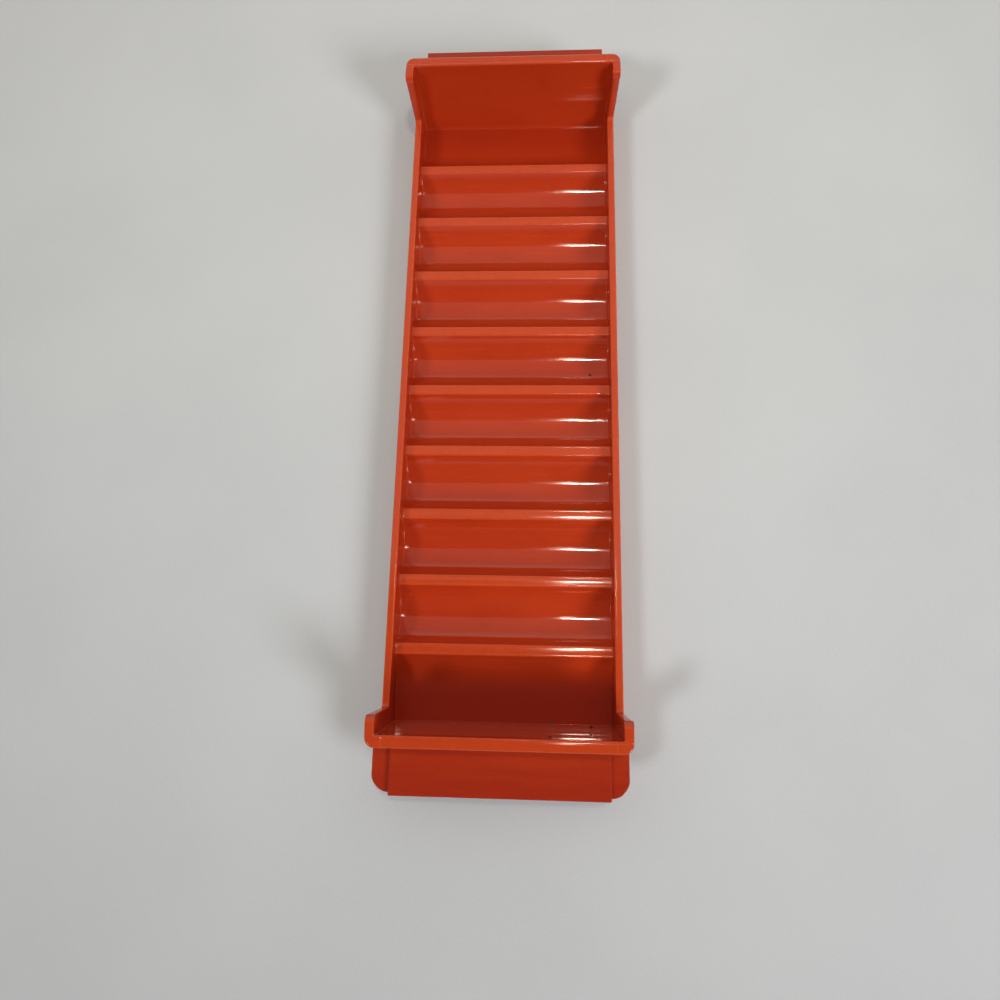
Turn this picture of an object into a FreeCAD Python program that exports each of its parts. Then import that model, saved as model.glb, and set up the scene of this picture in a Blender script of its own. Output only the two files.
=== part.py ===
import FreeCAD, Part

import math
import os

import Sketcher

# A tray for ten rolls of coins, moulded in one shot of plastic.
# Frame: X across the tray (along the rolls), Y along it, +Z up.
# The origin is the middle of the underside, on the surface that the tray stands on.
# The moulding is divided where its walls meet into named regions that touch face to face:
# the pocket bed, two side walls, two end walls and two end shelves.

doc = FreeCAD.newDocument("coin_tray")

# ---------------------------------------------------------------- driving dimensions (mm)

DIMENSIONS = [
    ("width", 95.25, "outer width at the top of the ends"),
    ("span", 294.1, "outer length at the top of the ends"),
    ("height", 38.1, "overall height"),
    ("side_lean", 1.2, "how far each side wall leans out, foot to top"),
    ("end_lean", 3.75, "how far each end wall leans out, foot to top"),
    ("side_rim", 3.4, "side wall thickness at the top of the ends"),
    ("side_foot", 2.8, "side wall thickness at the foot"),
    ("end_rim", 3.7, "end wall thickness at the top"),
    ("end_foot", 3.6, "end wall thickness at the foot"),
    ("corner_round", 3.6, "plan radius of the outer corners"),
    ("low_rim", 14.1, "height of the side walls between the ends"),
    ("ear_top", 11.3, "length of the tall part of a side wall, along its top"),
    ("ear_foot", 13.1, "the same, at the height of the low rim"),
    ("ear_round", 2.8, "rounding where the tall part starts to drop"),
    ("ear_cove", 1.6, "rounding where the drop meets the low rim"),
    ("inner_corner", 0.9, "rounding up the inner corners of the walls"),
    ("floor_wall", 2.4, "thickness of the floor under a pocket"),
    ("ridge_rise", 6.8, "height of a ridge above the pocket floor"),
    ("ridge_top", 4.15, "width of a ridge across its flat top"),
    ("ridge_round", 0.6, "rounding of the two edges of a ridge's top"),
    ("pocket_count", 10, "number of roll pockets"),
    ("end_margin", 0.55, "spare floor between the last pocket and the end wall"),
    ("pocket_land", 6.0, "width of the flat under each pocket, which the tray stands on"),
    ("core_tip", 0.8, "width of the coring under a ridge at its top"),
    ("shelf_height", 21.1, "height of the end shelf's upper face"),
    ("shelf_wall", 2.6, "thickness of the end shelf"),
    ("shelf_reach", 16.9, "how far the shelf stands out past the end wall's rim"),
    ("shelf_width", 95.6, "width of the end shelf"),
    ("shelf_round", 6.6, "plan radius of the shelf's outer corners"),
    ("panel_width", 82.0, "width of the raised panel on the shelf"),
    ("panel_reach", 17.9, "how far the raised panel stands out past the rim"),
    ("panel_rise", 1.7, "height of the raised panel above the shelf"),
    ("shelf_edge", 0.4, "rounding of the upper edges of the shelf and its panel"),
    ("rim_outer", 0.8, "rounding of the rim's outer edge"),
    ("rim_inner", 0.4, "rounding of the rim's inner edge"),
]

sheet = doc.addObject("Spreadsheet::Sheet", "sizes")
for row, (alias, value, meaning) in enumerate(DIMENSIONS, start=1):
    sheet.set(f"A{row}", alias)
    sheet.set(f"B{row}", str(value))
    sheet.setAlias(f"B{row}", alias)
    sheet.set(f"C{row}", meaning)
doc.recompute()

# ---------------------------------------------------------------- derived dimensions
# Each is an expression in the sheet's aliases, so it follows when a cell is changed.

BASE_WIDTH = "(sizes.width - 2 * sizes.side_lean)"
BASE_SPAN = "(sizes.span - 2 * sizes.end_lean)"
INNER_WIDTH_TOP = "(sizes.width - 2 * sizes.side_rim)"
INNER_SPAN_TOP = "(sizes.span - 2 * sizes.end_rim)"
INNER_WIDTH_BASE = f"({BASE_WIDTH} - 2 * sizes.side_foot)"
INNER_SPAN_BASE = f"({BASE_SPAN} - 2 * sizes.end_foot)"
PITCH = f"(({INNER_SPAN_BASE} - 2 * sizes.end_margin) / sizes.pocket_count)"
RIDGE_COUNT = "(sizes.pocket_count - 1)"
RIDGE_HEIGHT = "(sizes.floor_wall + sizes.ridge_rise)"
HALF_CHORD = f"(({PITCH} - sizes.ridge_top) / 2)"
POCKET_RADIUS = f"(({HALF_CHORD} ^ 2 + sizes.ridge_rise ^ 2) / (2 * sizes.ridge_rise))"
POCKET_AXIS = f"(sizes.floor_wall + {POCKET_RADIUS})"
CORE_RADIUS = f"sqrt((sizes.pocket_land / 2) ^ 2 + {POCKET_AXIS} ^ 2)"
CORE_HALF_BASE = f"({PITCH} / 2 - sizes.pocket_land / 2)"
CORE_HALF_TIP = "(sizes.core_tip / 2)"
CORE_TOP = f"({POCKET_AXIS} - sqrt({CORE_RADIUS} ^ 2 - ({PITCH} / 2 - {CORE_HALF_TIP}) ^ 2))"
SHELF_BOTTOM = "(sizes.shelf_height - sizes.shelf_wall)"
SHELF_ROOT = (
    "(sizes.span / 2 - sizes.end_lean * (1 - sizes.shelf_height / sizes.height) - sizes.corner_round)"
)
SHELF_END = "(sizes.span / 2 + sizes.shelf_reach)"
PANEL_END = "(sizes.span / 2 + sizes.panel_reach)"
OVERRUN = 1.0


def value(expression):
    """The number that an expression in the sheet's aliases gives now."""
    return float(sheet.evalExpression(str(expression)))


# ---------------------------------------------------------------- sketch and feature helpers


def new_body(name):
    return doc.addObject("PartDesign::Body", name)


def new_sketch(body, name, role, lift=None):
    """A sketch on one of the body's own origin planes, raised by the expression lift."""
    sketch = body.newObject("Sketcher::SketchObject", name)
    plane = next(item for item in body.Origin.OriginFeatures if item.Role == role)
    sketch.AttachmentSupport = [(plane, "")]
    sketch.MapMode = "FlatFace"
    if lift is not None:
        sketch.setExpression(".AttachmentOffset.Base.z", str(lift))
    return sketch


def arc_between(start, end, radius, side):
    """A short arc from start to end with its centre on the left (side 1) or right (side -1)."""
    chord = end - start
    sagitta_leg = math.sqrt(radius ** 2 - (chord.Length / 2) ** 2)
    left = FreeCAD.Vector(-chord.y, chord.x, 0).normalize()
    centre = (start + end) * 0.5 + left * (side * sagitta_leg)
    first, last = (start, end) if side > 0 else (end, start)
    angles = [math.atan2(point.y - centre.y, point.x - centre.x) for point in (first, last)]
    circle = Part.Circle(centre, FreeCAD.Vector(0, 0, 1), radius)
    return Part.ArcOfCircle(circle, angles[0], angles[1])


def pin_coordinate(sketch, kind, geometry, end, expression, name):
    """Ties one coordinate of a geometry's end to an expression in the sheet's aliases."""
    number = value(expression)
    index = sketch.addConstraint(Sketcher.Constraint(kind, -1, 1, geometry, end, number))
    sketch.renameConstraint(index, name)
    sketch.setExpression(f"Constraints.{name}", str(expression))


def profile(sketch, vertices, arcs=None):
    """A closed outline through vertices, whose coordinates are expressions.

    arcs gives, for the segment that starts at a vertex, its radius and the side of its centre.
    """
    arcs = arcs or {}
    points = [FreeCAD.Vector(value(x), value(y), 0) for x, y in vertices]
    count = len(points)
    ends = []
    for number in range(count):
        start, end = points[number], points[(number + 1) % count]
        if number in arcs:
            radius, side = arcs[number]
            sketch.addGeometry(arc_between(start, end, value(radius), side), False)
            ends.append((1, 2) if side > 0 else (2, 1))
        else:
            sketch.addGeometry(Part.LineSegment(start, end), False)
            ends.append((1, 2))
    for number in range(count):
        after = (number + 1) % count
        sketch.addConstraint(
            Sketcher.Constraint("Coincident", number, ends[number][1], after, ends[after][0])
        )
    for number, (x, y) in enumerate(vertices):
        pin_coordinate(sketch, "DistanceX", number, ends[number][0], x, f"x{number}")
        pin_coordinate(sketch, "DistanceY", number, ends[number][0], y, f"y{number}")
    for number, (radius, side) in arcs.items():
        index = sketch.addConstraint(Sketcher.Constraint("Radius", number, value(radius)))
        sketch.renameConstraint(index, f"r{number}")
        sketch.setExpression(f"Constraints.r{number}", str(radius))


def rectangle(sketch, width, span, radius=None):
    """A rectangle round the sketch's origin, with round corners if a radius is given."""
    x, y = f"({width}) / 2", f"({span}) / 2"
    if radius is None:
        profile(sketch, [(f"-{x}", f"-{y}"), (x, f"-{y}"), (x, y), (f"-{x}", y)])
        return
    xr, yr = f"({x} - {radius})", f"({y} - {radius})"
    corners = [
        (f"-{xr}", f"-{y}"), (xr, f"-{y}"), (x, f"-{yr}"), (x, yr),
        (xr, y), (f"-{xr}", y), (f"-{x}", yr), (f"-{x}", f"-{yr}"),
    ]
    profile(sketch, corners, {number: (radius, 1) for number in (1, 3, 5, 7)})


def bind(item, **expressions):
    for name, expression in expressions.items():
        item.setExpression(name, str(expression))


def pad(body, name, sketch, length, symmetric=False):
    feature = body.newObject("PartDesign::Pad", name)
    feature.Profile = sketch
    if symmetric:
        feature.SideType = "Symmetric"
    bind(feature, Length=length)
    return feature


def pocket(body, name, sketch, length, symmetric=False, upward=False):
    feature = body.newObject("PartDesign::Pocket", name)
    feature.Profile = sketch
    feature.Reversed = upward
    if symmetric:
        feature.SideType = "Symmetric"
    bind(feature, Length=length)
    return feature


def pattern_along_tray(body, name, feature, occurrences, step):
    """Repeats a feature along +Y."""
    pattern = body.newObject("PartDesign::LinearPattern", name)
    pattern.Originals = [feature]
    axis = next(item for item in body.Origin.OriginFeatures if item.Role == "Y_Axis")
    pattern.Direction = (axis, [""])
    bind(pattern, Occurrences=occurrences, Length=f"({occurrences} - 1) * {step}")
    body.Tip = pattern
    return pattern


def near(a, b):
    return abs(a - b) < 1e-4


def points_along(edge):
    """Points at the start, the quarters and the end of an edge."""
    first, last = edge.FirstParameter, edge.LastParameter
    return [edge.valueAt(first + (last - first) * quarter / 4) for quarter in range(5)]


def round_edges(body, name, test, radius):
    """Rounds the edges of the body's last feature whose points all pass the test."""
    doc.recompute()
    last = body.Tip
    chosen = [
        f"Edge{number}"
        for number, edge in enumerate(last.Shape.Edges, start=1)
        if all(test(point) for point in points_along(edge))
    ]
    fillet = body.newObject("PartDesign::Fillet", name)
    fillet.Base = (last, chosen)
    bind(fillet, Radius=radius)
    body.Tip = fillet
    return fillet


def fillet_solid(name, base, radius_of):
    """A Part fillet, where radius_of gives an edge's radius, or None to leave it as it is."""
    doc.recompute()
    fillet = doc.addObject("Part::Fillet", name)
    fillet.Base = base
    rounded = []
    for number, edge in enumerate(base.Shape.Edges, start=1):
        radius = radius_of(edge)
        if radius is not None:
            rounded.append((number, value(radius), value(radius)))
    fillet.Edges = rounded
    return fillet


def cutting_box(name, low, high):
    """A box between two corners whose coordinates are expressions."""
    box = doc.addObject("Part::Box", name)
    lengths = [f"({top}) - ({bottom})" for bottom, top in zip(low, high)]
    bind(box, Length=lengths[0], Width=lengths[1], Height=lengths[2])
    for axis, corner in zip("xyz", low):
        box.setExpression(f".Placement.Base.{axis}", corner)
    return box


def boolean(kind, name, base, tool):
    item = doc.addObject(f"Part::{kind}", name)
    item.Base = base
    item.Tool = tool
    return item


# ---------------------------------------------------------------- the two halves of the mould


def leaning_block(name, base, top, radius=None):
    """A block that widens evenly from the foot to the top of the tray."""
    body = new_body(name)
    foot = new_sketch(body, f"{name}_foot", "XY_Plane")
    rectangle(foot, base[0], base[1], radius)
    head = new_sketch(body, f"{name}_head", "XY_Plane", "sizes.height")
    rectangle(head, top[0], top[1], radius)
    loft = body.newObject("PartDesign::AdditiveLoft", f"{name}_loft")
    loft.Profile = foot
    loft.Sections = [head]
    loft.Ruled = True
    return body


# The outside of the tray, filled solid, and the space between its walls.
outer_form = leaning_block(
    "outer_form", (BASE_WIDTH, BASE_SPAN), ("sizes.width", "sizes.span"), "sizes.corner_round"
)
inner_form = leaning_block(
    "inner_form", (INNER_WIDTH_BASE, INNER_SPAN_BASE), (INNER_WIDTH_TOP, INNER_SPAN_TOP),
    "sizes.inner_corner",
)

# ---------------------------------------------------------------- pocket bed


def pocket_bed():
    """The floor with its ridges: round-bottomed pockets above, cored ridges below."""
    body = new_body("bed_form")
    base = new_sketch(body, "floor_outline", "XY_Plane")
    rectangle(base, "sizes.width", "sizes.span")
    pad(body, "floor", base, "sizes.floor_wall")

    # The sides of a ridge are the round walls of the two pockets beside it.
    first = f"(-({RIDGE_COUNT} - 1) / 2 * {PITCH})"
    section = new_sketch(body, "ridge_section", "YZ_Plane")
    half_pitch, half_top = f"{PITCH} / 2", "sizes.ridge_top / 2"
    profile(
        section,
        [
            (f"{first} - {half_pitch}", "sizes.floor_wall / 2"),
            (f"{first} + {half_pitch}", "sizes.floor_wall / 2"),
            (f"{first} + {half_pitch}", "sizes.floor_wall"),
            (f"{first} + {half_top}", RIDGE_HEIGHT),
            (f"{first} - {half_top}", RIDGE_HEIGHT),
            (f"{first} - {half_pitch}", "sizes.floor_wall"),
        ],
        {2: (POCKET_RADIUS, -1), 4: (POCKET_RADIUS, -1)},
    )
    ridge = pad(body, "ridge", section, "sizes.width", symmetric=True)
    pattern_along_tray(body, "ridges", ridge, RIDGE_COUNT, PITCH)

    # Under each ridge the moulding is cored out to an even wall.
    cored = new_sketch(body, "core_section", "YZ_Plane")
    profile(
        cored,
        [
            (f"{first} - {CORE_HALF_BASE}", f"-{OVERRUN}"),
            (f"{first} + {CORE_HALF_BASE}", f"-{OVERRUN}"),
            (f"{first} + {CORE_HALF_BASE}", "0"),
            (f"{first} + {CORE_HALF_TIP}", CORE_TOP),
            (f"{first} - {CORE_HALF_TIP}", CORE_TOP),
            (f"{first} - {CORE_HALF_BASE}", "0"),
        ],
        {2: (CORE_RADIUS, -1), 4: (CORE_RADIUS, -1)},
    )
    core = pocket(body, "core", cored, "sizes.width", symmetric=True)
    pattern_along_tray(body, "cores", core, RIDGE_COUNT, PITCH)

    crest = value(RIDGE_HEIGHT)
    round_edges(body, "ridge_edges", lambda point: near(point.z, crest), "sizes.ridge_round")
    return body


bed_form = pocket_bed()

# ---------------------------------------------------------------- walls


def side_opening():
    """The space over the low side walls, between the tall ends."""
    body = new_body("side_opening")
    sketch = new_sketch(body, "opening_outline", "YZ_Plane")
    foot = "(sizes.span / 2 - sizes.ear_foot)"
    top = "(sizes.span / 2 - sizes.ear_top)"
    over = f"(sizes.height + {OVERRUN})"
    profile(
        sketch,
        [
            (f"-{foot}", "sizes.low_rim"), (foot, "sizes.low_rim"), (top, "sizes.height"),
            (top, over), (f"-{top}", over), (f"-{top}", "sizes.height"),
        ],
    )
    pad(body, "opening", sketch, f"sizes.width + 2 * {OVERRUN}", symmetric=True)

    low, reach = value("sizes.low_rim"), value(foot)

    def at_corner(point):
        return near(point.z, low) and near(abs(point.y), reach)

    round_edges(body, "opening_coves", at_corner, "sizes.ear_cove")
    return body


def drop_edge_radius(edge):
    """Rounds the edges where the tall ends start to drop to the low rim."""
    top, drop = value("sizes.height"), value("sizes.span / 2 - sizes.ear_top")
    if all(near(point.z, top) and near(abs(point.y), drop) for point in points_along(edge)):
        return "sizes.ear_round"
    return None


def rim_edge_radius(edge):
    """Rounds the rim all the way round, more on the outside than on the inside."""
    points = points_along(edge)
    if min(point.z for point in points) < value("sizes.low_rim") - 1e-4:
        return None
    chord = points[-1] - points[0]
    crosses_wall = near(chord.y, 0) and edge.Length < 2 * value("sizes.side_rim")
    if crosses_wall:
        return None
    half_width, half_span = value(INNER_WIDTH_TOP) / 2, value(INNER_SPAN_TOP) / 2
    if all(abs(point.x) < half_width + 1e-4 and abs(point.y) < half_span + 1e-4 for point in points):
        return "sizes.rim_inner"
    return "sizes.rim_outer"


opening = side_opening()
wall_ring = boolean("Cut", "wall_ring", outer_form, inner_form)
sharp_walls = boolean("Cut", "sharp_walls", wall_ring, opening)
eased_walls = fillet_solid("eased_walls", sharp_walls, drop_edge_radius)
walls = fillet_solid("walls", eased_walls, rim_edge_radius)

# The walls are divided a little inside the inner corners, so that an end wall is flat inside.
END_WALL_HALF = f"({INNER_WIDTH_BASE} / 2 - 2 * sizes.inner_corner)"
FAR_X = f"(sizes.width / 2 + {OVERRUN})"
FAR_Y = f"(sizes.span / 2 + {OVERRUN})"
TOP_Z = f"(sizes.height + {OVERRUN})"
WALL_REGIONS = {
    "left_side_wall": ((f"-{FAR_X}", f"-{FAR_Y}", "0"), (f"-{END_WALL_HALF}", FAR_Y, TOP_Z)),
    "right_side_wall": ((END_WALL_HALF, f"-{FAR_Y}", "0"), (FAR_X, FAR_Y, TOP_Z)),
    "front_end_wall": ((f"-{END_WALL_HALF}", f"-{FAR_Y}", "0"), (END_WALL_HALF, "0", TOP_Z)),
    "rear_end_wall": ((f"-{END_WALL_HALF}", "0", "0"), (END_WALL_HALF, FAR_Y, TOP_Z)),
}

# ---------------------------------------------------------------- end shelves


def end_shelf():
    """The shelf on the front end: a round-cornered plate with a raised panel, joggled below."""
    body = new_body("shelf_form")
    x = "(sizes.shelf_width / 2)"
    xr = f"({x} - sizes.shelf_round)"
    yr = f"({SHELF_END} - sizes.shelf_round)"
    plan = new_sketch(body, "shelf_outline", "XY_Plane", SHELF_BOTTOM)
    profile(
        plan,
        [
            (f"-{x}", f"-{SHELF_ROOT}"), (f"-{x}", f"-{yr}"), (f"-{xr}", f"-{SHELF_END}"),
            (xr, f"-{SHELF_END}"), (x, f"-{yr}"), (x, f"-{SHELF_ROOT}"),
        ],
        {1: ("sizes.shelf_round", 1), 3: ("sizes.shelf_round", 1)},
    )
    pad(body, "shelf", plan, "sizes.shelf_wall")

    half = "(sizes.panel_width / 2)"
    raised = new_sketch(body, "panel_outline", "XY_Plane", SHELF_BOTTOM)
    profile(
        raised,
        [
            (f"-{half}", f"-{PANEL_END}"), (half, f"-{PANEL_END}"),
            (half, f"-{SHELF_ROOT}"), (f"-{half}", f"-{SHELF_ROOT}"),
        ],
    )
    pad(body, "panel", raised, "sizes.shelf_wall + sizes.panel_rise")

    hollow_half = f"({half} - sizes.shelf_wall)"
    hollow_end = f"({PANEL_END} - sizes.shelf_wall)"
    hollow = new_sketch(body, "panel_hollow_outline", "XY_Plane", SHELF_BOTTOM)
    profile(
        hollow,
        [
            (f"-{hollow_half}", f"-{hollow_end}"), (hollow_half, f"-{hollow_end}"),
            (hollow_half, f"-{SHELF_ROOT}"), (f"-{hollow_half}", f"-{SHELF_ROOT}"),
        ],
    )
    doc.recompute()
    pocket(body, "panel_hollow", hollow, "sizes.panel_rise", upward=True)

    panel_top = value("sizes.shelf_height + sizes.panel_rise")
    shelf_top = value("sizes.shelf_height")
    root = value(SHELF_ROOT)
    panel_half = value(half)

    def on_free_edge(point):
        on_panel = near(point.z, panel_top)
        on_shelf = near(point.z, shelf_top) and abs(point.x) > panel_half + 1e-4
        return (on_panel or on_shelf) and point.y < -root - 1e-4

    round_edges(body, "free_edges", on_free_edge, "sizes.shelf_edge")
    return body


shelf_form = end_shelf()

# ---------------------------------------------------------------- the moulding's regions

nodes = {"pocket_bed": boolean("Common", "pocket_bed", bed_form, inner_form)}
for name, (low, high) in WALL_REGIONS.items():
    region = cutting_box(f"{name}_region", low, high)
    nodes[name] = boolean("Common", name, walls, region)
nodes["front_end_shelf"] = boolean("Cut", "front_end_shelf", shelf_form, outer_form)
mirrored = doc.addObject("Part::Mirroring", "rear_end_shelf")
mirrored.Source = nodes["front_end_shelf"]
mirrored.Normal = FreeCAD.Vector(0, 1, 0)
nodes["rear_end_shelf"] = mirrored

for name, item in nodes.items():
    item.Label = name
doc.recompute()

# ---------------------------------------------------------------- checks and export

for item in doc.Objects:
    if "Invalid" in item.State or "Error" in item.State:
        raise RuntimeError(f"{item.Name} failed: {item.State}")
for name, item in nodes.items():
    if item.Shape.isNull() or not item.Shape.isValid():
        raise RuntimeError(f"{name} has no valid shape")
    if len(item.Shape.Solids) != 1:
        raise RuntimeError(f"{name} is {len(item.Shape.Solids)} solids")

# The regions share their joint faces, so together they are the one moulding.
shapes = [item.Shape for item in nodes.values()]
moulding = shapes[0].multiFuse(shapes[1:])
total = sum(shape.Volume for shape in shapes)
if len(moulding.Solids) != 1 or abs(moulding.Volume - total) > 1e-3 * total:
    raise RuntimeError("the regions don't make one moulding")

os.makedirs("parts", exist_ok=True)
for name, item in nodes.items():
    item.Shape.exportStep(f"parts/{name}.step")
    print(f"{name:16s} {item.Shape.Volume / 1000:7.2f} cm3")
box = moulding.optimalBoundingBox()
print(f"pitch {value(PITCH):.2f} mm, pocket radius {value(POCKET_RADIUS):.2f} mm")
print(f"moulding {moulding.Volume / 1000:.1f} cm3")
print(f"box {box.XLength:.2f} x {box.YLength:.2f} x {box.ZLength:.2f} mm")
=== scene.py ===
import math

import bmesh
import bpy
from mathutils import Euler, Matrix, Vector


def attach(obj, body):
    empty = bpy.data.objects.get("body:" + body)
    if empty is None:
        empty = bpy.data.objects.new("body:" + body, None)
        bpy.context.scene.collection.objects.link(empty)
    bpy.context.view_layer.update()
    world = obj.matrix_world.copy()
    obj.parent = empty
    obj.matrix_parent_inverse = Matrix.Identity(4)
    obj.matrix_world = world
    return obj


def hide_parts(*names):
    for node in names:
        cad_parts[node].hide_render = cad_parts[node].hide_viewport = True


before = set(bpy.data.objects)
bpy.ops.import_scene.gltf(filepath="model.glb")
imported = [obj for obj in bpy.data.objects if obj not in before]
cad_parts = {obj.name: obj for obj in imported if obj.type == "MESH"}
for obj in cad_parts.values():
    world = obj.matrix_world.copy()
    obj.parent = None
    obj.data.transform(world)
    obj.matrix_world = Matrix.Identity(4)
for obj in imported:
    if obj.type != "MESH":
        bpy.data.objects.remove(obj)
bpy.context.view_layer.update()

# ---------------------------------------------------------------- the outside of the moulding
# The tray is one injection moulding in orange-red plastic.
# Its outside is a block that widens from the foot to the top, so that it leaves the mould,
# with its four upright corners rounded. All that follows is part of this one piece.

MM = 0.001
HEIGHT = 38.1 * MM
TOP_X, TOP_Y = 95.25 / 2 * MM, 294.1 / 2 * MM
FOOT_X, FOOT_Y = TOP_X - 1.2 * MM, TOP_Y - 3.75 * MM
CORNER = 3.6 * MM
TINY = 0.02 * MM


def add_block(low, high):
    """A box between two corners, alone in the selection."""
    bpy.ops.object.select_all(action="DESELECT")
    middle = [(a + b) / 2 for a, b in zip(low, high)]
    size = [b - a for a, b in zip(low, high)]
    bpy.ops.mesh.primitive_cube_add(size=1, location=middle, scale=size)
    bpy.ops.object.transform_apply(location=True, rotation=True, scale=True)
    return bpy.context.object


def open_mesh(piece):
    """Starts editing a piece with nothing selected in it."""
    bpy.ops.object.select_all(action="DESELECT")
    piece.select_set(True)
    bpy.context.view_layer.objects.active = piece
    bpy.ops.object.mode_set(mode="EDIT")
    bpy.ops.mesh.select_all(action="DESELECT")


def close_mesh():
    """Ends the editing that open_mesh started."""
    bpy.ops.object.mode_set(mode="OBJECT")


def pick_edges(piece, test):
    """Selects the edges whose two ends pass the test together."""
    bpy.ops.mesh.select_all(action="DESELECT")
    bpy.ops.mesh.select_mode(type="EDGE")
    mesh = bmesh.from_edit_mesh(piece.data)
    for edge in mesh.edges:
        edge.select_set(test(edge.verts[0].co, edge.verts[1].co))
    bmesh.update_edit_mesh(piece.data)


def pick_points(piece, test):
    """Selects the points that pass the test."""
    bpy.ops.mesh.select_all(action="DESELECT")
    bpy.ops.mesh.select_mode(type="VERT")
    mesh = bmesh.from_edit_mesh(piece.data)
    for point in mesh.verts:
        point.select_set(test(point.co))
    mesh.select_flush(True)
    bmesh.update_edit_mesh(piece.data)


def round_edges(piece, test, radius, segments):
    """Rounds the edges whose two ends pass the test together."""
    pick_edges(piece, test)
    bpy.ops.mesh.bevel(
        offset=radius, offset_type="OFFSET", segments=segments, profile=0.5, affect="EDGES",
        clamp_overlap=False, miter_outer="SHARP", miter_inner="SHARP",
    )


def near(a, b, slack=TINY):
    """True for two measures that are the same but for rounding."""
    return abs(a - b) < slack


def leaning_block(foot, top, height, drop=0.0):
    """A block that widens evenly upwards, carried on for drop above the height."""
    piece = add_block((-foot[0], -foot[1], 0), (foot[0], foot[1], height + drop))
    grow = 1 + drop / height
    wide = [(foot[i] + (top[i] - foot[i]) * grow) / foot[i] for i in (0, 1)]
    open_mesh(piece)
    pick_points(piece, lambda point: point.z > height / 2)
    bpy.ops.transform.resize(value=(wide[0], wide[1], 1), center_override=(0, 0, 0))
    return piece


moulding = leaning_block((FOOT_X, FOOT_Y), (TOP_X, TOP_Y), HEIGHT)
round_edges(moulding, lambda a, b: abs(a.z - b.z) > HEIGHT / 2, CORNER, 10)
close_mesh()
moulding.name = "tray_moulding"

# ---------------------------------------------------------------- end shelves
# Each end carries a flat shelf with round corners, moulded on to the outside of the end wall.
# A panel on it stands a little higher and reaches a little further out.
# Its underside is hollowed to match, so that the plastic keeps one thickness.

SHELF_TOP, SHELF_WALL = 21.1 * MM, 2.6 * MM
SHELF_HALF, SHELF_ROUND = 95.6 / 2 * MM, 6.6 * MM
SHELF_END = TOP_Y + 16.9 * MM
PANEL_HALF, PANEL_RISE = 82.0 / 2 * MM, 1.7 * MM
PANEL_END = TOP_Y + 17.9 * MM
SHELF_EDGE, PANEL_EDGE, HOLLOW_EDGE = 0.35 * MM, 0.4 * MM, 0.5 * MM
SHELF_ROOT = TOP_Y - 3.75 * MM * (1 - SHELF_TOP / HEIGHT) - CORNER


def carve(piece, tool, operation="DIFFERENCE"):
    """Cuts a form out of a piece, or joins it on, and clears the form away."""
    modifier = piece.modifiers.new("form", "BOOLEAN")
    modifier.operation = operation
    modifier.solver = "EXACT"
    modifier.object = tool
    bpy.context.view_layer.objects.active = piece
    bpy.ops.object.modifier_apply(modifier=modifier.name)
    bpy.data.objects.remove(tool)
    open_mesh(piece)
    bpy.ops.mesh.select_all(action="SELECT")
    bpy.ops.mesh.remove_doubles(threshold=0.002 * MM)
    close_mesh()


def end_shelf():
    """The shelf of the end at +Y."""
    under = SHELF_TOP - SHELF_WALL
    shelf = add_block((-SHELF_HALF, SHELF_ROOT, under), (SHELF_HALF, SHELF_END, SHELF_TOP))
    open_mesh(shelf)
    round_edges(
        shelf, lambda a, b: near(a.y, SHELF_END) and near(b.y, SHELF_END) and not near(a.z, b.z),
        SHELF_ROUND, 14,
    )
    round_edges(
        shelf,
        lambda a, b: near(a.z, b.z) and max(a.y, b.y) > SHELF_ROOT + TINY,
        SHELF_EDGE, 3,
    )
    close_mesh()

    panel = add_block(
        (-PANEL_HALF, SHELF_ROOT, under), (PANEL_HALF, PANEL_END, SHELF_TOP + PANEL_RISE)
    )
    open_mesh(panel)
    round_edges(
        panel,
        lambda a, b: max(a.y, b.y) > SHELF_ROOT + TINY and (a.z > SHELF_TOP or b.z > SHELF_TOP),
        PANEL_EDGE, 3,
    )
    close_mesh()
    carve(shelf, panel, "UNION")

    room_x, room_y = PANEL_HALF - SHELF_WALL, PANEL_END - SHELF_WALL
    hollow = add_block(
        (-room_x, SHELF_ROOT - MM, under - MM), (room_x, room_y, under + PANEL_RISE)
    )
    open_mesh(hollow)
    round_edges(
        hollow, lambda a, b: a.z > under and b.z > under or not near(a.z, b.z), HOLLOW_EDGE, 3
    )
    close_mesh()
    carve(shelf, hollow)
    return shelf


for turn in (0, math.pi):
    shelf = end_shelf()
    shelf.rotation_euler.z = turn
    bpy.ops.object.select_all(action="DESELECT")
    shelf.select_set(True)
    bpy.context.view_layer.objects.active = shelf
    bpy.ops.object.transform_apply(location=True, rotation=True, scale=True)
    carve(moulding, shelf, "UNION")

# ---------------------------------------------------------------- the pockets
# Ten round-bottomed pockets lie side by side across the tray, one for each roll.
# The core of the mould leaves them in one go with the space between the walls. Its edges
# are rounded, which leaves a small cove in every inside corner, and the ridges are crowned.

FLOOR = 2.4 * MM
RIDGE_RISE, RIDGE_TOP, RIDGE_ROUND = 6.8 * MM, 4.15 * MM, 0.6 * MM
CREST = FLOOR + RIDGE_RISE
INSIDE_FOOT = (FOOT_X - 2.8 * MM, FOOT_Y - 3.6 * MM)
INSIDE_TOP = (TOP_X - 3.4 * MM, TOP_Y - 3.7 * MM)
END_COVE, SIDE_COVE = 2.2 * MM, 0.5 * MM
POCKETS = 10
END_GAP = 0.55 * MM
PITCH = (2 * INSIDE_FOOT[1] - 2 * END_GAP) / POCKETS
HALF_CHORD = (PITCH - RIDGE_TOP) / 2
ROLL = (HALF_CHORD ** 2 + RIDGE_RISE ** 2) / (2 * RIDGE_RISE)
ROLL_LENGTH = 130 * MM


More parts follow.
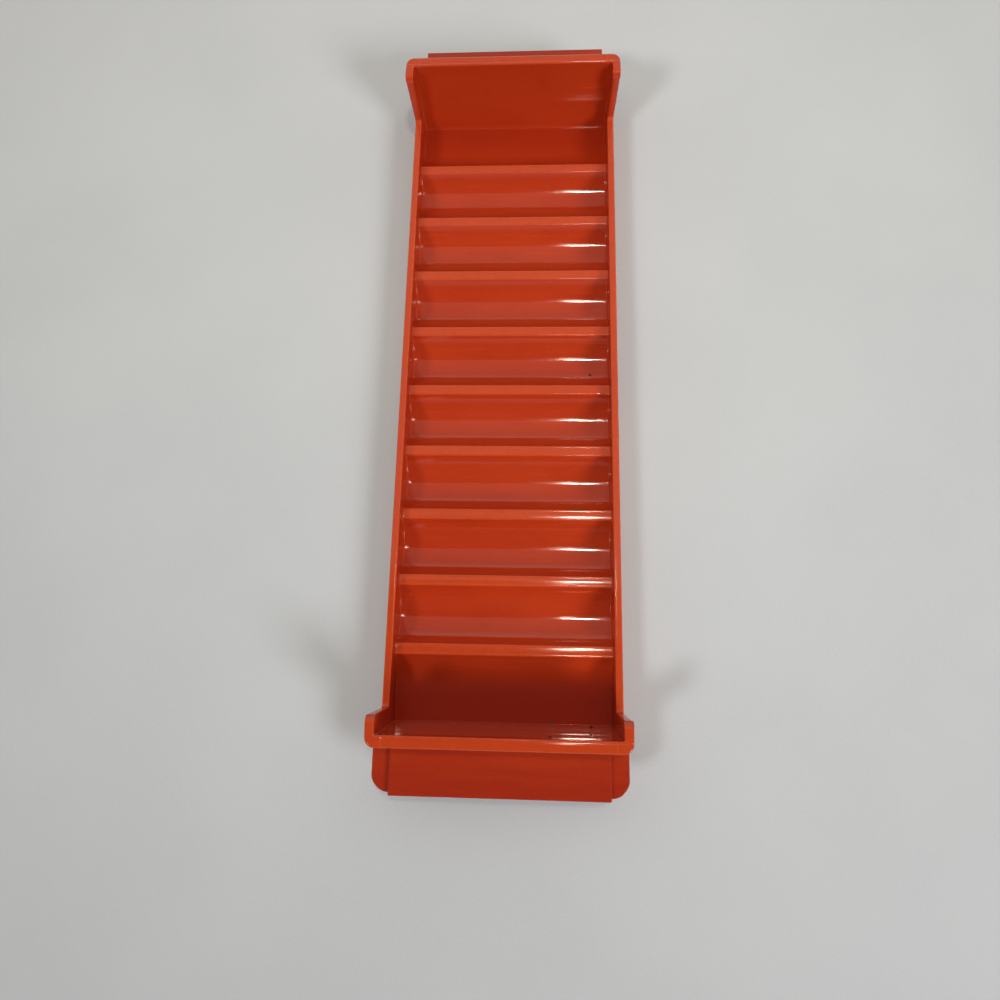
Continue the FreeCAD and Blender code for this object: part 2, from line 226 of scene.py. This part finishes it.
def lay_roll(middle, radius, length):
    """A cylinder across the tray at the height of a pocket's axis, alone in the selection."""
    bpy.ops.object.select_all(action="DESELECT")
    bpy.ops.mesh.primitive_cylinder_add(
        vertices=160, radius=radius, depth=length,
        location=(0, middle, FLOOR + ROLL), rotation=(0, math.pi / 2, 0),
    )
    bpy.ops.object.transform_apply(location=True, rotation=True, scale=True)
    return bpy.context.object


bed = add_block((-60 * MM, -150 * MM, -5 * MM), (60 * MM, 150 * MM, CREST))
for number in range(POCKETS):
    middle = (number - (POCKETS - 1) / 2) * PITCH
    roll = lay_roll(middle, ROLL, ROLL_LENGTH)
    if number in (0, POCKETS - 1):
        # The end pockets run on flat to the end wall.
        side = 1 if middle > 0 else -1
        open_mesh(roll)
        pick_points(roll, lambda point: side * (point.y - middle) > TINY)
        bpy.ops.transform.resize(value=(1, 1.6, 1), center_override=(0, middle, 0))
        pick_points(
            roll,
            lambda point: side * (point.y - middle) > TINY and point.z < FLOOR + ROLL - TINY,
        )
        bpy.ops.transform.resize(value=(1, 1, 0), center_override=(0, 0, FLOOR))
        close_mesh()
    carve(bed, roll)
open_mesh(bed)
round_edges(
    bed,
    lambda a, b: near(a.z, CREST) and near(b.z, CREST) and near(a.y, b.y) and abs(a.y) < 148 * MM,
    RIDGE_ROUND, 5,
)
for number in range(POCKETS - 1):
    middle = (number - (POCKETS - 2) / 2) * PITCH
    for offset in (-1.3, -0.65, 0, 0.65, 1.3):
        bpy.ops.mesh.select_all(action="SELECT")
        bpy.ops.mesh.bisect(plane_co=(0, middle + offset * MM, 0), plane_no=(0, 1, 0))


def off_ridge(point):
    """How far a point lies from the middle line of the nearest ridge."""
    return abs(point.y - round(point.y / PITCH) * PITCH)


for offset, drop in ((0.65, 0.015), (1.3, 0.060), ((RIDGE_TOP / 2 - RIDGE_ROUND) / MM, 0.075)):
    pick_points(
        bed, lambda point: near(point.z, CREST) and near(off_ridge(point), offset * MM, 0.1 * MM)
    )
    bpy.ops.transform.translate(value=(0, 0, -drop * MM))
close_mesh()

core = leaning_block(INSIDE_FOOT, INSIDE_TOP, HEIGHT, drop=3 * MM)
close_mesh()
carve(core, bed)


def inside_wall(point, axis):
    """How far a point lies inside the plane of the inner side walls (0) or end walls (1)."""
    lean = (INSIDE_TOP[axis] - INSIDE_FOOT[axis]) / HEIGHT
    return INSIDE_FOOT[axis] + lean * point.z - abs(point[axis])


def on_end_foot(a, b):
    """Edges of the core along the foot of the end walls."""
    at_end = inside_wall(a, 1) < TINY and inside_wall(b, 1) < TINY and a.y * b.y > 0
    return at_end and max(a.z, b.z) < CREST + TINY


def on_side_foot(a, b):
    """Edges of the core along the foot of the side walls, and on up the inner corners."""
    beside = inside_wall(a, 0) < TINY and inside_wall(b, 0) < TINY and a.x * b.x > 0
    return beside and min(a.z, b.z) < HEIGHT


open_mesh(core)
round_edges(core, on_end_foot, END_COVE, 8)
round_edges(core, on_side_foot, SIDE_COVE, 4)
for number in range(2 * POCKETS - 1):
    bpy.ops.mesh.select_all(action="SELECT")
    middle = (number - (POCKETS - 1)) * PITCH / 2
    bpy.ops.mesh.bisect(plane_co=(0, middle, 0), plane_no=(0, 1, 0))

# Towards the rim an end wall leans out less and less.
SKIN = 2 * MM
for level, bow in (
    (27.0, 0), (29.0, 0.015), (31.0, 0.06), (33.0, 0.135), (35.0, 0.24), (36.5, 0.34),
    (38.1, 0.46), (41.1, 0.70),
):
    pick_points(core, lambda point: inside_wall(point, 1) < SKIN)
    bpy.ops.mesh.bisect(plane_co=(0, 0, level * MM), plane_no=(0, 0, 1))
    for side in (-1, 1):
        pick_points(
            core,
            lambda point: near(point.z, level * MM) and side * point.y > 0
            and inside_wall(point, 1) < SKIN,
        )
        bpy.ops.transform.translate(value=(0, -side * bow * MM, 0))
close_mesh()
carve(moulding, core)

# ---------------------------------------------------------------- side openings
# Between the tall ends the side walls drop to a low rim, so that a hand can lift the rolls out.
# The drop leans a little and runs into the low rim with a small cove.

LOW_RIM = 14.1 * MM
DROP_FOOT, DROP_TOP = TOP_Y - 13.1 * MM, TOP_Y - 11.3 * MM
DROP_COVE, ABOVE_RIM = 1.5 * MM, 2 * MM

opening = add_block((-60 * MM, -DROP_FOOT, LOW_RIM), (60 * MM, DROP_FOOT, HEIGHT + ABOVE_RIM))
slope = (DROP_TOP - DROP_FOOT) / (HEIGHT - LOW_RIM)
open_mesh(opening)
pick_points(opening, lambda point: point.z > HEIGHT)
flare = 1 + slope * (HEIGHT + ABOVE_RIM - LOW_RIM) / DROP_FOOT
bpy.ops.transform.resize(value=(1, flare, 1), center_override=(0, 0, 0))
round_edges(
    opening,
    lambda a, b: near(a.z, LOW_RIM) and near(b.z, LOW_RIM) and near(a.y, b.y),
    DROP_COVE, 6,
)
close_mesh()
carve(moulding, opening)

# ---------------------------------------------------------------- the rim
# All round, the rim is rounded a little more on its outer edge than on its inner edge.
# Where the tall ends start to drop, the corner is rounded as well.

RIM_OUTER, RIM_INNER, DROP_CORNER = 0.8 * MM, 0.7 * MM, 2.8 * MM


def on_rim(point):
    """True for a point on the top of a wall, at whatever height the wall ends there."""
    between = abs(point.y) < DROP_TOP + TINY
    return near(point.z, HEIGHT) or (between and point.z > LOW_RIM - TINY)


def crosses(a, b):
    """True for an edge that runs across a side wall, from its outside to its inside."""
    return near(a.y, b.y, 0.1 * MM) and abs(a.x - b.x) > 2 * MM and a.x * b.x > 0


def is_inner(point):
    """True for a point on the inside of the walls, or within a millimetre of it."""
    return inside_wall(point, 0) > -MM and inside_wall(point, 1) > -MM


open_mesh(moulding)
round_edges(
    moulding,
    lambda a, b: on_rim(a) and on_rim(b) and near(a.z, HEIGHT) and near(b.z, HEIGHT)
    and near(abs(a.y), DROP_TOP, 0.1 * MM) and crosses(a, b),
    DROP_CORNER, 8,
)
round_edges(
    moulding,
    lambda a, b: on_rim(a) and on_rim(b) and not crosses(a, b) and is_inner(a) and is_inner(b),
    RIM_INNER, 4,
)
round_edges(
    moulding,
    lambda a, b: on_rim(a) and on_rim(b) and not crosses(a, b)
    and not is_inner(a) and not is_inner(b)
    and min(inside_wall(a, 0), inside_wall(a, 1)) < -2 * MM,
    RIM_OUTER, 4,
)
close_mesh()

# ---------------------------------------------------------------- the underside
# Under each ridge the moulding is cored out, so that the plastic is as thick there
# as in the floor of a pocket. The tray stands on the flats left under the pockets.

LAND, CORING_ROOF, CORING_EDGE = 6.0 * MM, 0.4 * MM, 0.5 * MM
CORE_ROLL = math.hypot(LAND / 2, FLOOR + ROLL)
CORE_TOP = FLOOR + ROLL - math.sqrt(CORE_ROLL ** 2 - (PITCH / 2 - CORING_ROOF) ** 2)

ridge_core = add_block(
    (-INSIDE_FOOT[0], -PITCH / 2 + LAND / 2, -MM), (INSIDE_FOOT[0], PITCH / 2 - LAND / 2, CORE_TOP)
)
for side in (-1, 1):
    carve(ridge_core, lay_roll(side * PITCH / 2, CORE_ROLL, ROLL_LENGTH))
open_mesh(ridge_core)
round_edges(
    ridge_core,
    lambda a, b: near(abs(a.x), INSIDE_FOOT[0]) and near(abs(b.x), INSIDE_FOOT[0])
    and a.x * b.x > 0 and max(a.z, b.z) > 0.1 * MM,
    CORING_EDGE, 3,
)
close_mesh()
for number in range(POCKETS - 1):
    bpy.ops.object.select_all(action="DESELECT")
    ridge_core.select_set(True)
    bpy.context.view_layer.objects.active = ridge_core
    bpy.ops.object.duplicate()
    coring = bpy.context.object
    coring.location.y = (number - (POCKETS - 2) / 2) * PITCH
    bpy.ops.object.transform_apply(location=True, rotation=True, scale=True)
    carve(moulding, coring)
bpy.data.objects.remove(ridge_core)

# ---------------------------------------------------------------- the finished surface
# The plastic comes out of a polished mould, so flat walls are true and round ones smooth.
# The colour in it is a little uneven, as the melt flowed from the middle. Rolls slid in and
# out leave fine scratches along the pockets, and handling dulls the rim and the ridge tops,
# which are also painted lighter as sheen, with painted highlights and shade in a few places.

bpy.ops.object.select_all(action="DESELECT")
moulding.select_set(True)
bpy.context.view_layer.objects.active = moulding
bpy.ops.object.shade_smooth_by_angle(angle=math.radians(35))
normals = moulding.modifiers.new("true_faces", "WEIGHTED_NORMAL")
normals.keep_sharp = True
bpy.ops.object.modifier_apply(modifier=normals.name)


class Signal:
    """A shader socket that takes part in Python arithmetic by adding Math nodes."""

    def __init__(self, tree, socket=None):
        self.tree = tree
        self.socket = socket

    def add(self, kind, settings=None, values=None, output=0):
        """Adds a node with its settings and its sockets' values or links."""
        node = self.tree.nodes.new(kind)
        for name, setting in (settings or {}).items():
            setattr(node, name, setting)
        for name, given in (values or {}).items():
            if isinstance(given, Signal):
                self.tree.links.new(given.socket, node.inputs[name])
            else:
                node.inputs[name].default_value = given
        return Signal(self.tree, node.outputs[output] if node.outputs else None)

    def math(self, operation, *others):
        """One of the Math node's sums, on this value and the others."""
        values = dict(enumerate((self, *others)))
        return self.add("ShaderNodeMath", {"operation": operation}, values)

    def __abs__(self):
        return self.math("ABSOLUTE")

    def __add__(self, other):
        return self.math("ADD", other)

    def __radd__(self, other):
        return self + other

    def __sub__(self, other):
        return self.math("SUBTRACT", other)

    def __rsub__(self, other):
        return self.add("ShaderNodeMath", {"operation": "SUBTRACT"}, {0: other, 1: self})

    def __mul__(self, other):
        return self.math("MULTIPLY", other)

    def __rmul__(self, other):
        return self * other

    def step(self, low, high):
        """0 below low, 1 above high, smooth between; falls instead if high is below low."""
        settings = {"interpolation_type": "SMOOTHSTEP", "clamp": True}
        values = {"Value": self, "From Min": low, "From Max": high, "To Min": 0.0, "To Max": 1.0}
        return self.add("ShaderNodeMapRange", settings, values)

    def hump(self, middle, half):
        """1 at the middle, falling smoothly to 0 at half on both sides."""
        return abs(self - middle).step(half, 0.0)

    def mix(self, low, high):
        """The blend of two colours by this factor."""
        return self.add(
            "ShaderNodeMix", {"data_type": "RGBA"}, {0: self, 6: low, 7: high}, output=2
        )

    def axis(self, number):
        """One coordinate of a place, in millimetres."""
        return self.add("ShaderNodeSeparateXYZ", {}, {"Vector": self}, output=number) * 1000.0

    def noise(self, along, detail=2.0, roughness=0.5):
        """Noise over a place, with so many lumps to the millimetre along each axis."""
        scale = [1000.0 * count for count in along]
        spread = self.add("ShaderNodeMapping", {}, {"Vector": self, "Scale": scale})
        values = {"Vector": spread, "Scale": 1.0, "Detail": detail, "Roughness": roughness}
        return self.add("ShaderNodeTexNoise", {}, values)

    def seen(self):
        """1 for what the camera sees, also in a mirror or through glass, and 0 for what lights."""
        rays = [self.add("ShaderNodeLightPath", output=number) for number in (0, 3, 6)]
        return rays[0].math("MAXIMUM", rays[1]).math("MAXIMUM", rays[2])

    def bump(self):
        """The surface raised by this many millimetres."""
        return self.add("ShaderNodeBump", {}, {"Height": self, "Distance": MM})


def new_material(name):
    """A material without nodes, and the place on the piece to start its nodes from."""
    made = bpy.data.materials.new(name)
    made.use_nodes = True
    made.node_tree.nodes.clear()
    return made, Signal(made.node_tree).add("ShaderNodeTexCoord", output=3)


PLAIN, DEEP = (0.50, 0.043, 0.0090, 1), (0.455, 0.035, 0.0070, 1)
DUSKY, PALE_WEAR_AND_SHEEN = (0.38, 0.025, 0.0060, 1), (0.72, 0.088, 0.018, 1)
SHADED, SOOT = (0.31, 0.018, 0.0055, 1), (0.012, 0.003, 0.002, 1)

material, place = new_material("orange_red_plastic")
x, y, z = (place.axis(number) for number in range(3))
across, along = abs(x), abs(y)

# Where on the tray a point is, each from 0 to 1.
between_ends = along.step(134.6, 134.0)
in_pockets = across.step(43.6, 43.0) * along.step(139.0, 137.0)
off_flats = along.step(126.0, 116.0)
end_rim = z.step(37.0, 37.9)
# The floors of the end pockets are painted darker as shade, more at the near end.
end_floor_shade = along.step(116.0, 132.0) * along.step(140.5, 139.0) * z.step(12.0, 4.0)
end_floor_shade = end_floor_shade * (0.90 - 0.35 * y.step(-50.0, 50.0))
on_shelf = z.step(20.6, 21.0) * z.step(24.0, 23.4) * along.step(147.2, 148.6)
side_rim = z.step(13.3, 13.9) * z.step(14.8, 14.4) * across.step(43.7, 44.1) * between_ends
# Painted highlights along both edges of each low side rim.
rim_edge_highlights = side_rim * (across.hump(44.1, 0.45) + across.hump(46.55, 0.55))
ridge_top = z.step(8.6, 9.1) * z.step(9.8, 9.4) * in_pockets * along.step(118.0, 117.0)

# How worn it is there, with the tops and rim edges painted lighter as sheen and highlight, and the
# unevenness of the plastic.
fray = place.noise((0.3, 0.3, 0.3), 4.0, 0.6).step(0.35, 0.65)
tops_wear_and_sheen = end_rim * 0.35 + side_rim * 0.55 + rim_edge_highlights * 0.5 + ridge_top * 0.6
tops_wear_and_sheen = tops_wear_and_sheen * (0.8 + 0.2 * fray)
flow = place.noise((0.012, 0.02, 0.02), 3.0).step(0.3, 0.7)
cloud = place.noise((0.045, 0.07, 0.07), 4.0, 0.6).step(0.45, 0.75)
scratches = place.noise((0.04, 1.7, 1.7), 3.0, 0.6).step(0.60, 0.72)
scratches = scratches * in_pockets * off_flats
rubbed = place.noise((0.03, 0.3, 0.3), 4.0, 0.6).step(0.35, 0.70)
grain = place.noise((1.7, 1.7, 1.7), 3.0, 0.65)

# Where the shelf joins the outside of an end wall, the thick plastic sinks a little inside.
# Two fine witness lines cross each end rim where parts of the mould meet, raised a little and
# painted lighter as a highlight, and the rim is crowned. A light line is painted as a highlight
# across each low rim where the drop meets it.
# A short slanting glint is painted on the far end wall towards the right.
sunk = z.hump(19.8, 3.4) * along.step(139.0, 140.0) * along.step(146.0, 145.0)
far_wall_glint = (z - 0.1 * x).hump(20.9, 0.35) * x.step(26.0, 34.0) * x.step(42.0, 41.0)
far_wall_glint = far_wall_glint * y.step(139.0, 140.0)
witness_lines_and_glints = across.hump(41.7, 0.32) * along.step(142.6, 143.0) * z.step(33.0, 36.0)
witness_lines_and_glints = witness_lines_and_glints + along.hump(134.0, 0.4) * across.step(43.2, 43.8) * z.hump(14.8, 0.9)
crowned = (along - 145.2) * (along - 145.2) * end_rim * along.step(143.0, 143.4)

# A few specks of soot are stuck in the near end and in one pocket, longer where they ran down.
specks = place.noise((0.9, 0.9, 0.9), 1.0).step(0.79, 0.82) * 0.7
drawn = place.add("ShaderNodeMapping", {}, {"Vector": place, "Scale": (1000, 1000, 250)})
for speck, radius in (
    ((18.9, -138.7, 2.4), 0.7), ((18.4, -142.4, 28.1), 0.7), ((35.0, -140.2, 5.0), 0.9),
    ((33.8, -141.7, 20.7), 0.6), ((35.7, 9.5, 3.1), 0.8), ((42.2, -138.1, 2.4), 0.5),
):
    middle = (speck[0], speck[1], speck[2] / 4)
    away = drawn.add("ShaderNodeVectorMath", {"operation": "DISTANCE"}, {0: drawn, 1: middle}, 1)
    specks = specks.math("MAXIMUM", away.step(radius, radius * 0.5))

colour = flow.mix(DEEP, PLAIN)
colour = (cloud * 0.30).mix(colour, DUSKY)
colour = end_floor_shade.mix(colour, SHADED)
# The shelves are painted darker in patches, and more towards their outer edge as painted shade.
colour = (on_shelf * (0.25 + 0.35 * rubbed + 0.60 * along.step(150.0, 163.0))).mix(colour, DUSKY)
# Rim and ridge tops are made paler: partly wear, partly painted sheen and highlight.
colour = (tops_wear_and_sheen * 0.80).mix(colour, PALE_WEAR_AND_SHEEN)
colour = (scratches * 0.22).mix(colour, PALE_WEAR_AND_SHEEN)
colour = (grain.step(0.50, 0.78) * 0.20).mix(colour, PALE_WEAR_AND_SHEEN)
colour = (witness_lines_and_glints * 0.6 + far_wall_glint * 0.5).mix(colour, PALE_WEAR_AND_SHEEN)
colour = specks.mix(colour, SOOT)
roughness = 0.06 + 0.04 * rubbed * off_flats + 0.05 * tops_wear_and_sheen
roughness = roughness + 0.06 * scratches + 0.10 * on_shelf + 0.50 * specks
sway = place.noise((0.05, 0.09, 0.09), 2.0)
relief = 0.03 * sway + 0.002 * grain - 0.004 * scratches
relief = relief - 0.05 * sunk + 0.05 * witness_lines_and_glints - 0.035 * crowned
shader = place.add("ShaderNodeBsdfPrincipled", {}, {
    "Base Color": colour, "Roughness": roughness, "IOR": 1.45, "Normal": relief.bump(),
})
place.add("ShaderNodeOutputMaterial", {}, {"Surface": shader})
moulding.data.materials.clear()
moulding.data.materials.append(material)

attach(moulding, "root")
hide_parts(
    "pocket_bed", "left_side_wall", "right_side_wall", "front_end_wall",
    "rear_end_wall", "front_end_shelf", "rear_end_shelf",
)

# ---------------------------------------------------------------- the table
# A plain pale table top under the tray, and nothing else. Far from the tray, where no lamp
# reaches, it glows a little for the eye alone, so that it meets the room at one tone.

bpy.ops.object.select_all(action="DESELECT")
bpy.ops.mesh.primitive_plane_add(size=30, location=(0, 0, 0))
table = bpy.context.object
table.name = "table_top"
cloth, spot = new_material("pale_table")
weave = spot.noise((1.1, 1.1, 1.1), 3.0, 0.7)
patchy = spot.noise((0.012, 0.012, 0.012), 3.0).step(0.3, 0.7)
tone = patchy.mix((0.590, 0.620, 0.652, 1), (0.620, 0.650, 0.682, 1))
tone = (weave.step(0.35, 0.65) * 0.35).mix(tone, (0.675, 0.700, 0.725, 1))
seen = spot.seen()
away = spot.add("ShaderNodeVectorMath", {"operation": "LENGTH"}, {0: spot}, 1)
glow = (away.step(0.40, 1.1) * seen).mix((0, 0, 0, 1), (0.50, 0.51, 0.52, 1))
top = spot.add("ShaderNodeBsdfPrincipled", {}, {
    "Base Color": tone, "Roughness": 0.8, "Normal": (0.10 * weave).bump(),
    "Emission Color": glow, "Emission Strength": 1.0,
})
spot.add("ShaderNodeOutputMaterial", {}, {"Surface": top})
table.data.materials.append(cloth)

# ---------------------------------------------------------------- light and camera
# A wide soft panel leans over the far side of the tray, from the table to a point overhead,
# with two small bright lamps at its upper edge, one round and one long. Two soft lamps stand
# in front, left and right. The room is dim, and only looks pale near the table's far edge.


def add_lamp(
    name, place, target, size, power, depth=None, spread=180, color=(1, 1, 1), shape="ELLIPSE"
):
    """A soft lamp that faces the target, as deep as it is wide if no depth is given."""
    light = bpy.data.lights.new(name, "AREA")
    light.shape = shape
    light.size = size
    light.size_y = depth or size
    light.energy = power
    light.color = color
    light.spread = math.radians(spread)
    lamp = bpy.data.objects.new(name, light)
    bpy.context.collection.objects.link(lamp)
    lamp.location = place
    lamp.rotation_euler = (Vector(target) - Vector(place)).to_track_quat("-Z", "Y").to_euler()


add_lamp(
    "soft_panel", (0, 0.605, 0.375), (0, 0.280, -0.220), 1.8, 4.5, depth=1.356,
    color=(1, 0.91, 0.77), shape="RECTANGLE",
)
add_lamp("front_right", (0.90, -0.85, 0.80), (0, 0.12, 0), 0.5, 1.92, spread=75)
add_lamp("front_left", (-0.75, -0.75, 1.06), (0.1, 0.2, 0), 0.3, 0.72, spread=60)
add_lamp("key_lamp", (0.072, 0.0, 0.70), (0, 0, 0), 0.045, 0.60, color=(1, 0.88, 0.70))
add_lamp(
    "long_lamp", (0.055, -0.03, 0.70), (0, -0.03, 0), 0.12, 0.12, depth=0.02, color=(1, 0.88, 0.70)
)

world = bpy.data.worlds.new("room")
world.use_nodes = True
world.node_tree.nodes.clear()
sky = Signal(world.node_tree).add("ShaderNodeTexCoord")
rise = abs(sky.add("ShaderNodeSeparateXYZ", {}, {"Vector": sky}, output=2))
pale = 0.08 + 0.50 * rise.step(0.55, 0.25) * sky.seen()
room = sky.add("ShaderNodeBackground", {}, {"Color": (1, 1, 1, 1), "Strength": pale})
sky.add("ShaderNodeOutputWorld", {}, {"Surface": room})
bpy.context.scene.world = world

camera_data = bpy.data.cameras.new("camera")
camera_data.lens = 26.03
camera_data.sensor_width = 36
camera = bpy.data.objects.new("camera", camera_data)
bpy.context.collection.objects.link(camera)
camera.location = (0.01348, -0.12068, 0.30398)
tilt = Euler([math.radians(angle) for angle in (13.572, 3.061, 0.555)], "ZYX")
camera.rotation_euler = tilt.to_matrix().to_euler()
bpy.context.scene.camera = camera
bpy.context.scene.view_settings.view_transform = "Standard"
